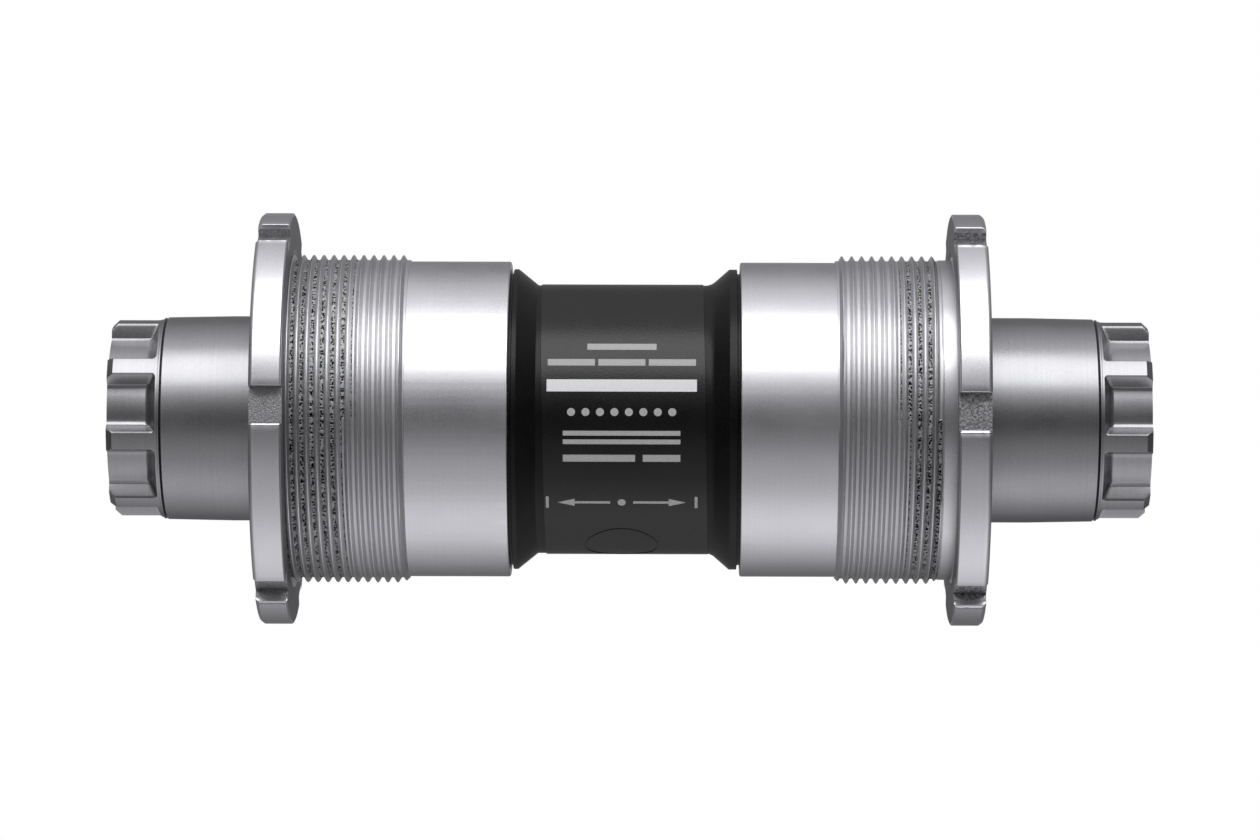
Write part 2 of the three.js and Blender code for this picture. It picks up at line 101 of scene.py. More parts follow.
# The stretch over which the thread's valley floors are left rough.
LEFT_ROUGH = (-math.inf, 9.6)
RIGHT_ROUGH = (5.5, 9.3)
RIGHT_RELIEF_RADIUS = 16.95
CUP_BORE_RADIUS = 15.2
MOUTH_RADIUS = 14.6
MOUTH_DEPTH = 5.05
SOCKET_TEETH = 20
SOCKET_DEPTH = 4.8
SOCKET_ROOT_RADIUS = 15.5

RIM_RADIUS = 21.8
RIM_WIDTH = 3.4
RIM_CHAMFERS = (0.4, 0.16)  # along X, at the outer and the inner edge
RIM_CHAMFER_DEPTH = 0.3
NOTCH_COUNT = 6
NOTCH_WIDTH = 3.9
NOTCH_DEPTH = 1.4
# Rounding of a notch's trailing (-1) and leading (1) lip.
NOTCH_EDGES = {"left": {-1: 0.09, 1: 0.09}, "right": {-1: 0.14, 1: 0.17}}
BURR = [(0.03, 0.04), (0.09, 0.08), (0.17, 0.08), (0.25, 0.04), (0.33, 0.0)]  # distance from the lip, height
BURR_SIZES = {"left": {-1: 0.6, 1: 0.0}, "right": {-1: 1.3, 1: 0.0}}
WALL_FOOT = 1.21  # where a notch wall's columns end at the rim's foot, in half widths of the floor
NOTCH_PHASE = {"left": 3.8, "right": 2.4}  # degrees
UNDERCUT = (17.8, 0.15)  # outer radius and depth of the relief cut into the right flange's seat

SLEEVE_RADIUS = 14.21
SLEEVE_BORE_RADIUS = 13.2
SLEEVE_RIM_RADIUS = 15.92
SLEEVE_FLARES = {"left": (9.7, 11.8, 0.3), "right": (8.55, 10.5, 1.6)}  # start, end and the root's rounding
SLEEVE_GROOVE_RADIUS = 15.45
LABEL_EDGES = (-9.35, 7.76)
LABEL_SKEW = 0.55
LABEL_THICKNESS = 0.1
PRINT_MIDDLE = -0.75
PRINT_HEIGHT = 0.015
RING_MARK_HEIGHT = 0.05
SUNK = 0.02  # how far the print and the ring mark reach down into the label
ROUND_COLUMNS = 240

# A column of a turned mesh: its angle, its share of a groove's depth, and where a notched rim holds it.
Column = namedtuple("Column", "angle depth rim_angle rim_radius burr", defaults=(0.0, None, math.inf, 0.0))
# A row: where it puts each column's point, how many rows on it joins after a turn, and how rough and torn it
# is; the cups' metal also reads that value as painted shade in the thread valleys.
Row = namedtuple("Row", "place climb rough", defaults=(0, 0.0))


def span(node):
    """A node's two ends along X and its greatest radius."""
    low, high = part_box(node)
    return low[0] / MM, high[0] / MM, max(high[1], high[2]) / MM


# ---- Outlines -----------------------------------------------------------------------------------


def polar(x, radius, degrees):
    angle = math.radians(degrees)
    return Vector((x, -radius * math.cos(angle), radius * math.sin(angle)))


def fillet(corners, steps=4):
    """The (x, radius) points of a closed outline whose corners are (x, radius) or (x, radius, rounding)."""
    points = []
    count = len(corners)
    for i, corner in enumerate(corners):
        here = Vector(corner[:2])
        size = corner[2] if len(corner) > 2 else 0.0
        if not size:
            points.append(tuple(here))
            continue
        before = (Vector(corners[i - 1][:2]) - here).normalized()
        after = (Vector(corners[(i + 1) % count][:2]) - here).normalized()
        half = before.angle(after) / 2
        reach = size / math.tan(half)
        centre = here + (before + after).normalized() * (size / math.sin(half))
        start = here + before * reach - centre
        end = here + after * reach - centre
        sweep = start.angle_signed(end)
        for step in range(steps + 1):
            turn = -sweep * step / steps
            cos, sin = math.cos(turn), math.sin(turn)
            along = start.x * cos - start.y * sin
            across = start.x * sin + start.y * cos
            points.append((centre.x + along, centre.y + across))
    return points


def arc(centre, radius, first, last, steps=8):
    """(x, radius) points on an arc, with angles in degrees from +x."""
    angles = [math.radians(first + (last - first) * i / steps) for i in range(steps + 1)]
    return [(centre[0] + radius * math.cos(a), centre[1] + radius * math.sin(a)) for a in angles]


def soft_clamp(value, softness):
    """value held between 0 and 1, with both corners rounded."""
    if value < -softness:
        return 0.0
    if value < softness:
        return (value + softness) ** 2 / (4 * softness)
    if value < 1 - softness:
        return value
    if value < 1 + softness:
        return 1 - (1 + softness - value) ** 2 / (4 * softness)
    return 1.0


def soft_min(a, b, softness):
    mix = max(softness - abs(a - b), 0.0) / softness
    return min(a, b) - mix * mix * softness / 4


# ---- Turned meshes ------------------------------------------------------------------------------


def even_columns(count):
    return [Column(360 * i / count) for i in range(count)]


def toothed_columns(count, first, offsets, depth):
    """Columns that repeat count times; depth gives each offset's share of the groove's full depth."""
    pitch = 360 / count
    return [Column(first + pitch * i + offset, depth(offset)) for i in range(count) for offset in offsets]


def in_turn(columns):
    """The columns in order round the axis, with angles from 0 to 360."""
    columns = [column._replace(angle=column.angle % 360) for column in columns]
    return sorted(columns, key=lambda column: column.angle)


def plain(x, radius, rough=0.0):
    return Row(lambda column: (x, radius, column.angle), 0, rough)


def plain_rows(points):
    return [plain(*point) for point in points]


def rim_row(x, radius, spread_out=False):
    """A row on a notched rim: the notches cut it down to their own outline.

    A row that is spread out keeps its columns apart where it is clear of the notches.
    """

    def place(column):
        apart = column.rim_angle is None or (spread_out and radius < column.rim_radius)
        angle = column.angle if apart else column.rim_angle
        ragged = 0.7 + 0.5 * math.sin(11 * x + angle) * math.sin(4.3 * x)
        return (x, min(radius, column.rim_radius) + column.burr * ragged, angle)

    return Row(place)


def thread_rows(start, end, pitch, crest, root, lead_in=0.0, torn=lambda x: False):
    """Rows that follow a right-hand helix from start to end, fading to the root radius at both ends."""
    half = pitch / 2
    rise = FLANK_WIDTH * (abs(crest - root) / (CREST_RADIUS - ROOT_RADIUS))
    corners = [0, CREST_HALF_WIDTH, CREST_HALF_WIDTH + rise / 2, CREST_HALF_WIDTH + rise]
    eased = [corners[1] / 2, corners[1] * 1.6, corners[3] - 0.06, corners[3] + 0.05]
    reaches = sorted(corners[1:] + eased)
    offsets = [-reach for reach in reversed(reaches)] + [0.0] + reaches + [half]
    turns = math.ceil((end - start) / pitch) + 3
    per_turn = len(offsets)
    total = per_turn * turns
    rows = []
    for line in range(total):
        turn, phase = divmod(line, per_turn)
        offset = offsets[phase]
        height = soft_clamp((CREST_HALF_WIDTH + rise - abs(offset)) / rise, 0.2)
        base = start + (turn - 1) * pitch + lead_in + offset
        floor = abs(offset) > CREST_HALF_WIDTH + rise * 0.9 and torn(base)

        def place(column, base=base, height=height):
            x = base - pitch * column.angle / 360
            held = min(max(x, start), end)
            lead = min(held - start, end - held) / abs(crest - root)
            return (held, root + (crest - root) * min(height, max(lead, 0.0)), column.angle)

        # A torn valley floor gets 1; elsewhere the value grows towards the valley floor, and the cups' metal
        # turns it into roughness and painted shade.
        rows.append(Row(place, -min(per_turn, line), 1.0 if floor else 0.35 * (1 - height)))
    return rows


def backwards(rows):
    return [row._replace(climb=-row.climb) for row in reversed(rows)]


def turned(columns, rows, mirror=None):
    """A closed mesh from columns round the X axis and rows along a closed outline.

    mirror is the plane x that the outline's own x is measured inwards from, for a right-hand piece.
    """
    work = bmesh.new()
    # The rows' rough value, which the cups' metal reads for roughness, torn pits and painted shade in the
    # thread valleys.
    layer = work.verts.layers.float.new("rough")
    count = len(rows)
    for column in columns:
        for row in rows:
            x, radius, angle = row.place(column)
            vert = work.verts.new(polar(x, radius, angle) * MM)
            vert[layer] = row.rough
    work.verts.ensure_lookup_table()

    def corner(column, row):
        if column < len(columns):
            return work.verts[column * count + row]
        return work.verts[row + rows[row].climb]

    for column in range(len(columns)):
        for row in range(count):
            following = (row + 1) % count
            ring = [corner(column, row), corner(column, following)]
            ring += [corner(column + 1, following), corner(column + 1, row)]
            distinct = list(dict.fromkeys(ring))
            if len(distinct) > 2:
                work.faces.new(distinct)
    if mirror is not None:
        for vert in work.verts:
            vert.co.x = mirror * MM - vert.co.x
    return work


def shift(work, distance):
    """Moves a mesh along the X axis by this many millimetres."""
    for vert in work.verts:
        vert.co.x += distance * MM


def clean(work, name):
    """Joins doubled points, drops loose ones, and says so when a mesh isn't closed."""
    bmesh.ops.remove_doubles(work, verts=work.verts, dist=0.0004 * MM)
    bmesh.ops.dissolve_degenerate(work, edges=work.edges, dist=0.0002 * MM)
    loose = [vert for vert in work.verts if not vert.link_faces]
    bmesh.ops.delete(work, geom=loose, context="VERTS")
    open_edges = sum(1 for edge in work.edges if len(edge.link_faces) != 2)
    if open_edges:
        print("OPEN", name, open_edges)
    bmesh.ops.recalc_face_normals(work, faces=work.faces)


def piece(name, work, materials, body, sharp=32.0, nodes=None):
    """Turns a bmesh into a finished piece that rides on a body and stands for its CAD node."""
    clean(work, name)
    data = bpy.data.meshes.new(name)
    work.to_mesh(data)
    work.free()
    data.shade_smooth()
    data.set_sharp_from_angle(angle=math.radians(sharp))
    for material in materials:
        data.materials.append(material)
    made = bpy.data.objects.new(name, data)
    bpy.context.scene.collection.objects.link(made)
    crisp = made.modifiers.new("crisp", "WEIGHTED_NORMAL")
    crisp.weight = 80
    crisp.keep_sharp = True
    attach(made, body)
    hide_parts(*(nodes or [name.removesuffix("_piece")]))
    return made


# ---- Materials ----------------------------------------------------------------------------------


class Nodes:
    """Makes and links the nodes of one tree."""

    def __init__(self, tree):
        self.tree = tree

    def node(self, kind, inputs=None, **settings):
        made = self.tree.nodes.new(kind)
        for key, value in settings.items():
            setattr(made, key, value)
        for key, value in (inputs or {}).items():
            self.feed(made.inputs[key], value)
        return made

    def feed(self, socket, value):
        if isinstance(value, bpy.types.NodeSocket):
            self.tree.links.new(value, socket)
        else:
            socket.default_value = value

    def math(self, operation, first, second=0.0, clamp=False):
        made = self.node("ShaderNodeMath", {0: first, 1: second}, operation=operation, use_clamp=clamp)
        return made.outputs[0]

    def spread(self, value, low, high, start=0.3, end=0.7):
        """low where the value is at start, high where it is at end, and held outside them."""
        inputs = {0: value, 1: start, 2: end, 3: low, 4: high}
        return self.node("ShaderNodeMapRange", inputs).outputs[0]

    def blend(self, factor, first, second):
        made = self.node("ShaderNodeMix", {0: factor, 6: first, 7: second}, data_type="RGBA")
        return made.outputs[2]


class Surface(Nodes):
    """A material whose Principled shader is fed by procedural nodes."""

    def __init__(self, name, **values):
        self.material = bpy.data.materials.new(name)
        self.material.use_nodes = True
        super().__init__(self.material.node_tree)
        self.shader = self.tree.nodes["Principled BSDF"]
        for socket, value in values.items():
            self.shader.inputs[socket.replace("_", " ")].default_value = value
        self.place = self.node("ShaderNodeTexCoord").outputs["Object"]

    def noise(self, size, detail=2.0, roughness=0.5, stretch=(1.0, 1.0, 1.0)):
        """Noise with features of about this size in millimetres."""
        scaled = self.node("ShaderNodeMapping", {"Vector": self.place, "Scale": stretch})
        inputs = {"Vector": scaled.outputs[0], "Scale": 1 / (size * MM)}
        inputs |= {"Detail": detail, "Roughness": roughness}
        return self.node("ShaderNodeTexNoise", inputs).outputs[0]

    def cells(self, size):
        """Scattered pits about this far apart in millimetres: 0 at a pit's middle, rising away from it."""
        inputs = {"Vector": self.place, "Scale": 1 / (size * MM)}
        return self.node("ShaderNodeTexVoronoi", inputs).outputs["Distance"]

    def lines(self, size, detail=3.0):
        """Turning marks: noise that changes only along the spindle's axis."""
        x = self.node("ShaderNodeSeparateXYZ", {0: self.place}).outputs[0]
        inputs = {"W": x, "Scale": 1 / (size * MM), "Detail": detail, "Roughness": 0.6}
        return self.node("ShaderNodeTexNoise", inputs, noise_dimensions="1D").outputs[0]

    def fed(self, name):
        """What feeds one of the shader's inputs so far."""
        return self.shader.inputs[name].links[0].from_socket

    def color(self, socket):
        self.feed(self.shader.inputs["Base Color"], socket)

    def rough(self, socket):
        self.feed(self.shader.inputs["Roughness"], socket)

    def bump(self, height, depth, below=None):
        """Adds relief of this depth in millimetres, on top of what is below."""
        inputs = {"Height": height, "Distance": depth * MM}
        if below is not None:
            inputs["Normal"] = below
        normal = self.node("ShaderNodeBump", inputs).outputs[0]
        self.feed(self.shader.inputs["Normal"], normal)
        return normal


def grey(level, blue=0.0):
    """A neutral colour, made a little bluer by the share given."""
    return (level, level, level * (1 + blue), 1.0)


def satin_metal(name, dark, light, roughness, grain, turning, blue=0.03):
    """Bare metal with a fine grain, faint turning marks and uneven sheen."""
    made = Surface(name, Metallic=1.0)
    fine = made.noise(0.16, 3.0, 0.6)
    cloud = made.noise(5.0, 2.0)
    marks = made.lines(0.3)
    tone = made.math("ADD", made.math("MULTIPLY", fine, 0.75), made.math("MULTIPLY", marks, 0.25))
    made.color(made.blend(made.spread(tone, 0.0, 1.0), grey(dark, blue), grey(light, blue)))
    sheen = made.math("ADD", made.math("MULTIPLY", fine, 0.5), made.math("MULTIPLY", cloud, 0.5))
    made.rough(made.spread(sheen, roughness - 0.05, roughness + 0.05))
    relief = made.bump(fine, grain)
    made.bump(marks, turning, relief)
    return made


def thread_metal():
    """The cups' metal. Thread valleys are rougher and darker, the darkening painted shade that deepens
    towards the valley floor, and some are left torn and pitted by the tap.
    """
    made = satin_metal("cup_aluminium", 0.66, 0.74, 0.3, 0.004, 0.001)
    valley = made.node("ShaderNodeAttribute", attribute_name="rough").outputs["Fac"]
    torn = made.spread(valley, 0.0, 1.0, 0.5, 0.9)
    pits = made.cells(0.24)
    # Painted shade in the thread valleys: the colour turns darker grey towards each valley floor.
    valley_shade_share = made.math("MULTIPLY", valley, 1.6, clamp=True)
    shaded_valley = made.blend(valley_shade_share, made.fed("Base Color"), grey(0.46))
    pitted = made.blend(made.spread(pits, 0.0, 1.0, 0.4, 0.6), grey(0.0), grey(0.45))
    made.color(made.blend(torn, shaded_valley, pitted))
    made.rough(made.math("ADD", made.fed("Roughness"), made.math("MULTIPLY", valley, 0.3)))
    made.bump(made.math("MULTIPLY", torn, pits), 0.08, made.fed("Normal"))
    return made.material


def milled_metal(name, size, dark, light):
    """The floors of the milled notches: matt and grained."""
    made = satin_metal(name, dark, light, 0.45, 0.02, 0.001)
    torn = made.noise(size, 3.0, 0.75)
    made.color(made.blend(made.spread(torn, 0.0, 1.0, 0.36, 0.66), grey(dark, 0.03), grey(light, 0.03)))
    made.bump(torn, 0.08, made.fed("Normal"))
    return made.material


def moulded_black():
    made = Surface("sleeve_plastic", IOR=1.33)
    fine = made.noise(0.28, 3.0, 0.65)
    cloud = made.noise(3.5)
    made.color(made.blend(made.spread(cloud, 0.0, 1.0), grey(0.001), grey(0.003)))
    made.rough(made.spread(fine, 0.24, 0.34))
    made.bump(fine, 0.012)
    return made.material


def label_film():
    made = Surface("label_film", IOR=1.46)
    fine = made.noise(0.22, 3.0, 0.6)
    cloud = made.noise(4.0)
    made.color(made.blend(made.spread(cloud, 0.0, 1.0), grey(0.001), grey(0.003)))
    made.rough(made.spread(fine, 0.2, 0.32))
    made.bump(fine, 0.016)
    return made.material


def print_ink(name, dark, light):
    made = Surface(name)
    fine = made.noise(0.12, 2.0)
    made.color(made.blend(made.spread(fine, 0.0, 1.0), grey(dark), grey(light)))
    made.rough(made.spread(fine, 0.4, 0.55))
    made.bump(fine, 0.002)
    return made.material


def seal_rubber():
    made = Surface("seal_rubber")
    fine = made.noise(0.3, 3.0)
    made.color(made.blend(made.spread(fine, 0.0, 1.0), grey(0.012), grey(0.022)))
    made.rough(made.spread(fine, 0.55, 0.7))
    made.bump(fine, 0.015)
    return made.material


def cage_nylon():
    made = Surface("cage_plastic", Subsurface_Weight=0.1)
    fine = made.noise(0.3, 2.0)
    made.color(made.blend(made.spread(fine, 0.0, 1.0), (0.62, 0.57, 0.43, 1), (0.72, 0.67, 0.53, 1)))
    made.rough(made.spread(fine, 0.4, 0.55))
    made.bump(fine, 0.01)
    return made.material


ALUMINIUM = thread_metal()
MILLED = {
    "left": milled_metal("milled_aluminium", 0.2, 0.25, 0.5),
    "right": milled_metal("coarse_milled_aluminium", 0.3, 0.16, 0.62),
}
STEEL = satin_metal("spindle_steel", 0.31, 0.39, 0.31, 0.005, 0.001).material
# The rims' side faces: a rougher turned finish, with a dark colour that is painted shade.
SHADED_TURNED = satin_metal("shaded_turned_aluminium", 0.2, 0.28, 0.5, 0.004, 0.002).material
GROUND = satin_metal("bearing_steel", 0.7, 0.78, 0.14, 0.001, 0.001).material
PLASTIC = moulded_black()
FILM = label_film()
INK = print_ink("print_ink", 0.3, 0.4)
BRIGHT_INK = print_ink("bright_print_ink", 0.6, 0.7)
RUBBER = seal_rubber()
NYLON = cage_nylon()

# ---- Spindle ------------------------------------------------------------------------------------


def groove_depth(offset):
    """How deep the groove is at an angle from a tooth's middle: 0 on the tooth, 1 on the floor."""
    from_groove = abs(abs(offset) - 180 / SPLINE_COUNT)
    for (low, deeper), (high, shallower) in zip(SPLINE_FLANK, SPLINE_FLANK[1:]):
        if from_groove <= high:
            return deeper + (shallower - deeper) * (from_groove - low) / (high - low)
    return 0.0


def spline_row(x, surface):
    """A row of the splined end: the turned surface, or the groove's floor or ramp where that is lower."""
    ramp_start, ramp_end = SPLINE_RAMP
    along = (abs(x) - ramp_start) / (ramp_end - ramp_start)

    def place(column):
        depth = soft_clamp(soft_min(column.depth, along, 0.55), 0.02)
        floor = SPLINE_TIP_RADIUS - depth * (SPLINE_TIP_RADIUS - SPLINE_FLOOR_RADIUS)
        return (x, min(surface, floor) if depth > 0 else surface, column.angle)

    return Row(place)


def spindle_end_rows(side, length):
    """The outside of one end, from the journal out to the end face."""
    step = SPINDLE_STEPS[side]
    width, depth = STEP_GROOVE
    edge = 0.04
    bead_radius = STEP_RADIUS - 0.06
    bead_end = step + width + STEP_BEAD
    points = [
        (JOURNAL_TAPER_START, JOURNAL_RADIUS),
        (step - edge, STEP_RADIUS),
        (step, STEP_RADIUS - edge),
        (step + width / 2, STEP_RADIUS - depth),
        (step + width, bead_radius),
        (bead_end - 0.03, bead_radius),
        (bead_end, bead_radius - 0.1),
    ]
    rows = plain_rows(points)
    cone_slope = (STEP_RADIUS - SPLINE_TIP_RADIUS) / STEP_CONE
    fine_end = SPLINE_RAMP[1] + 0.3
    steps = 24
    for i in range(steps + 1):
        x = bead_end + (fine_end - bead_end) * i / steps
        cone = STEP_RADIUS - cone_slope * (x - step)
        rows.append(spline_row(x, max(cone, SPLINE_TIP_RADIUS)))
    chamfer_start = length - SPINDLE_CHAMFER
    coarse_end = chamfer_start - 0.12
    for i in range(1, 5):
        x = fine_end + (coarse_end - fine_end) * i / 4
        rows.append(spline_row(x, SPLINE_TIP_RADIUS))
    broken = 0.03
    for i in range(6):
        share = i / 5
        fall = broken + (SPINDLE_CHAMFER - broken) * share
        rows.append(spline_row(chamfer_start + SPINDLE_CHAMFER * share, SPLINE_TIP_RADIUS - fall))
    return rows


def mirrored_rows(rows):
    """The same rows at the other end, so listed the other way round."""

    def flipped(row):
        def place(column):
            x, radius, angle = row.place(column)
            return (-x, radius, angle)

        return Row(place, 0, row.rough)

    return [flipped(row) for row in reversed(rows)]


def bolt_thread_rows(start, end):
    thread = BOLT_THREAD
    return thread_rows(start, end, thread["pitch"], thread["crest"], thread["root"])


def spline_offsets():
    """Angles from a tooth's middle to its columns, which are closest at the lip and on the flank."""
    tip = [0.5, 1.6, 2.7, 3.8, 4.5, 4.75, 4.85, 5.2]
    flank = [5.55, 5.65, 6.1, 6.7, 7.4, 8.2, 8.7, 8.9, 9.1, 9.4, 10.0, 10.7, 11.1]
    floor = [12.2, 13.4, 15.4, 17.4, 19.4, 21.5]
    half = tip + flank + floor
    return [-offset for offset in reversed(half)] + half


def shoulder_rows(height):
    """The spindle's middle, with a shoulder beside each cone."""
    left = span("left_cone")[1] + SHOULDER_GAP
    right = span("right_cone")[0] - SHOULDER_GAP
    edge = 0.2
    left_side = [
        (left, JOURNAL_RADIUS),
        (left, height - edge),
        (left + edge, height),
        (left + SHOULDER_WIDTH, height),
        (left + SHOULDER_WIDTH, JOURNAL_RADIUS),
    ]
    right_side = [(left + right - x, radius) for x, radius in reversed(left_side)]
    return plain_rows(left_side + right_side)


def spindle_bore_rows(low, high):
    """The through bore from its right mouth to its left one, with a bolt thread inside each."""
    edge = 0.15
    mouth = 1.6
    root = BOLT_THREAD["root"]
    start = mouth + (BORE_MOUTH_RADIUS - SPINDLE_BORE_RADIUS) / 2
    reach = mouth + BOLT_THREAD["length"]
    opening = [(0, BORE_MOUTH_RADIUS + edge), (edge, BORE_MOUTH_RADIUS), (mouth, BORE_MOUTH_RADIUS)]
    opening += [(start, root)]
    rows = [plain(high - inwards, radius) for inwards, radius in opening]
    rows += backwards(bolt_thread_rows(high - reach, high - start))
    rows += [plain(high - reach, SPINDLE_BORE_RADIUS), plain(low + reach, SPINDLE_BORE_RADIUS)]
    rows += backwards(bolt_thread_rows(low + start, low + reach))
    rows += [plain(low + inwards, radius) for inwards, radius in reversed(opening)]
    return rows


def build_spindle():
    low, high, height = span("spindle")
    columns = toothed_columns(SPLINE_COUNT, SPLINE_FIRST_TOOTH, spline_offsets(), groove_depth)
    rows = mirrored_rows(spindle_end_rows(-1, -low)) + shoulder_rows(height)
    rows += spindle_end_rows(1, high) + spindle_bore_rows(low, high)
    piece("spindle_piece", turned(columns, rows), [STEEL], "axle", sharp=28)


# ---- Notched rims -------------------------------------------------------------------------------


def lip_columns(middle, side, rim):
    """The columns of one wall and lip of a notch, with the burr that the cutter left along the lip."""
    floor_radius = RIM_RADIUS - NOTCH_DEPTH
    half = NOTCH_WIDTH / 2
    edge = NOTCH_EDGES[rim][side]
    floor_half = math.degrees(math.asin(half / floor_radius))
    wall = []
    for i in range(4):
        wall.append((half, floor_radius + (NOTCH_DEPTH - edge) * i / 3))
    for i in range(1, 5):
        turn = math.radians(90 * i / 4)
        wall.append((half + edge * (1 - math.cos(turn)), RIM_RADIUS - edge * (1 - math.sin(turn))))
    columns = []
    for i, (across, radius) in enumerate(wall):
        foot = floor_half * (1 + (WALL_FOOT - 1) * i / (len(wall) - 1))
        angle = math.degrees(math.asin(across / radius))
        columns.append(Column(middle + side * foot, 0, middle + side * angle, radius))
    size = BURR_SIZES[rim][side]
    for i, (reach, height) in enumerate(BURR if size else []):
        foot = floor_half * WALL_FOOT + 0.06 * (i + 1)
        out = angle + math.degrees(reach * size / RIM_RADIUS)
        columns.append(Column(middle + side * foot, 0, middle + side * out, math.inf, height * size))
    return columns


def rim_columns(rim):
    """Columns round a rim whose notches have parallel walls."""
    floor_radius = RIM_RADIUS - NOTCH_DEPTH
    floor_half = math.degrees(math.asin(NOTCH_WIDTH / 2 / floor_radius))
    pitch = 360 / NOTCH_COUNT
    first = floor_half * WALL_FOOT + 0.7
    steps = 32
    columns = []
    for notch in range(NOTCH_COUNT):
        middle = NOTCH_PHASE[rim] + pitch * notch
        columns += [Column(middle + floor_half * i / 8, 0, None, floor_radius) for i in range(-7, 8)]
        columns += lip_columns(middle, -1, rim) + lip_columns(middle, 1, rim)
        for i in range(steps + 1):
            columns.append(Column(middle + first + (pitch - 2 * first) * i / steps))
    return in_turn(columns)


def rim_rows(outer, inner):
    """The rim's outline from its outer face round to its inner face, with softly broken edges."""
    soft = 0.05
    way = 1 if inner > outer else -1
    low = RIM_RADIUS - RIM_CHAMFER_DEPTH
    start = outer + way * RIM_CHAMFERS[0]
    end = inner - way * RIM_CHAMFERS[1]
    foot = low - 0.9
    points = [
        (outer, foot),
        (outer, low - soft),
        (outer + way * soft, low + soft * 0.6),
        (start - way * soft, RIM_RADIUS - soft * 0.6),
        (start + way * soft, RIM_RADIUS),
    ]
    steps = 9
    points += [(start + (end - start) * i / steps, RIM_RADIUS) for i in range(1, steps)]
    points += [
        (end - way * soft, RIM_RADIUS),
        (end + way * soft * 0.6, RIM_RADIUS - soft),
        (inner - way * soft * 0.6, low + soft),
        (inner, low - soft),
        (inner, foot),
    ]
    return [rim_row(x, radius, radius == foot) for x, radius in points]


def finish_rim(made, rim, low, high):
    """Gives the floors of the notches the milled metal, and the side faces a rougher turned metal whose dark
    colour is painted shade.
    """
    made.data.materials.append(MILLED[rim])
    made.data.materials.append(SHADED_TURNED)
    limit = RIM_RADIUS - NOTCH_DEPTH * 0.5
    shoulder = RIM_RADIUS - NOTCH_DEPTH - 0.3
    for face in made.data.polygons:
        x, y, z = face.center / MM
        if not low < x < high:
            continue
        radius = math.hypot(y, z)
        if shoulder < radius < limit and abs(face.normal.x) < 0.5:
            face.material_index = 1
        # Faces along the axis take the dark metal: painted shade on the side faces.
        if radius > CREST_RADIUS and abs(face.normal.x) > 0.9:
            face.material_index = 2
            face.use_smooth = False


def build_lockring():
    low, high, _ = span("lockring")
    bore = CREST_RADIUS + 0.06
    chamfer = 0.45
    mouth = bore + chamfer
    bore_rows = plain_rows([(high, mouth), (high - chamfer, bore), (low + chamfer, bore), (low, mouth)])
    work = turned(rim_columns("left"), rim_rows(low, high) + bore_rows)
    made = piece("lockring_piece", work, [ALUMINIUM], "locking_ring")
    finish_rim(made, "left", low - 1, high + 1)


# ---- Cups ---------------------------------------------------------------------------------------


def cup_thread_rows(thread, rough):
    """A cup's outer thread, whose valley floors are torn over the rough stretch."""
    start, end, lead_in = thread

    def torn(x):
        return rough[0] < x < rough[1]

    return thread_rows(start, end, CUP_PITCH, CREST_RADIUS, ROOT_RADIUS, lead_in, torn)


def band_rows(start, length, radius):
    """The smooth band from the thread to the inner end, then the bore and the mouth."""
    edge = 0.2
    near_end = length - 2
    corners = [
        (near_end, radius),
        (length, radius, edge),
        (length, CUP_BORE_RADIUS + edge),
        (length - edge, CUP_BORE_RADIUS),
        (MOUTH_DEPTH, CUP_BORE_RADIUS),
        (MOUTH_DEPTH, MOUTH_RADIUS),
    ]
    return plain_rows([(start + 0.05, radius)] + fillet(corners))


def socket_depth(offset):
    """How deep a socket groove is at an angle from its middle: 1 on the floor, 0 between the grooves."""
    edge = 5.0
    flank = 1.2
    return soft_clamp((edge - abs(offset)) / flank, 0.12)


def socket_row(x, share=1.0):
    """The mouth's bore, cut by the tool socket's grooves."""

    def place(column):
        return (x, MOUTH_RADIUS + (SOCKET_ROOT_RADIUS - MOUTH_RADIUS) * column.depth * share, column.angle)

    return Row(place)


def build_left_cup():
    low, high, _ = span("left_cup")
    length = high - low
    offsets = [-8.2, -7.0, -5.2, -4.9, -4.4, -3.9, -3.6, -2.4, -1.2, 0.0]
    offsets += [-value for value in reversed(offsets[:-1])]
    columns = in_turn(toothed_columns(SOCKET_TEETH, 0, offsets, socket_depth))
    start, end, _ = LEFT_THREAD
    rows = [plain(0, MOUTH_RADIUS + 1.4), plain(0, ROOT_RADIUS - 0.25), plain(start, ROOT_RADIUS)]
    rows += cup_thread_rows(LEFT_THREAD, LEFT_ROUGH)
    rows += band_rows(end, length, LEFT_BAND_RADIUS)
    rows += [socket_row(SOCKET_DEPTH + 0.1, 0), socket_row(SOCKET_DEPTH), socket_row(0.35)]
    rows += [Row(lambda column: (0, MOUTH_RADIUS + 0.35 + 0.9 * column.depth, column.angle))]
    work = turned(columns, rows)
    shift(work, low)
    piece("left_cup_piece", work, [ALUMINIUM], "adjustable_cup")


def build_right_cup():
    low, high, _ = span("right_cup")
    length = high - low
    start, end, _ = RIGHT_THREAD
    rows = [plain(0, MOUTH_RADIUS + 0.3)] + rim_rows(0, RIM_WIDTH)
    seat_radius, undercut = UNDERCUT
    relief = [(RIM_WIDTH, seat_radius), (RIM_WIDTH - undercut, seat_radius - 0.5)]
    relief += [(RIM_WIDTH - undercut, RIGHT_RELIEF_RADIUS + 0.15), (RIM_WIDTH, RIGHT_RELIEF_RADIUS)]
    relief += [(start - 0.12, RIGHT_RELIEF_RADIUS), (start, ROOT_RADIUS)]
    rows += plain_rows(relief) + cup_thread_rows(RIGHT_THREAD, RIGHT_ROUGH)
    rows += band_rows(end, length, RIGHT_BAND_RADIUS)
    rows.append(plain(0.3, MOUTH_RADIUS))
    work = turned(rim_columns("right"), rows, mirror=high)
    made = piece("right_cup_piece", work, [ALUMINIUM], "housing")
    finish_rim(made, "right", high - RIM_WIDTH - 1, high + 1)


# ---- Sleeve and label ---------------------------------------------------------------------------


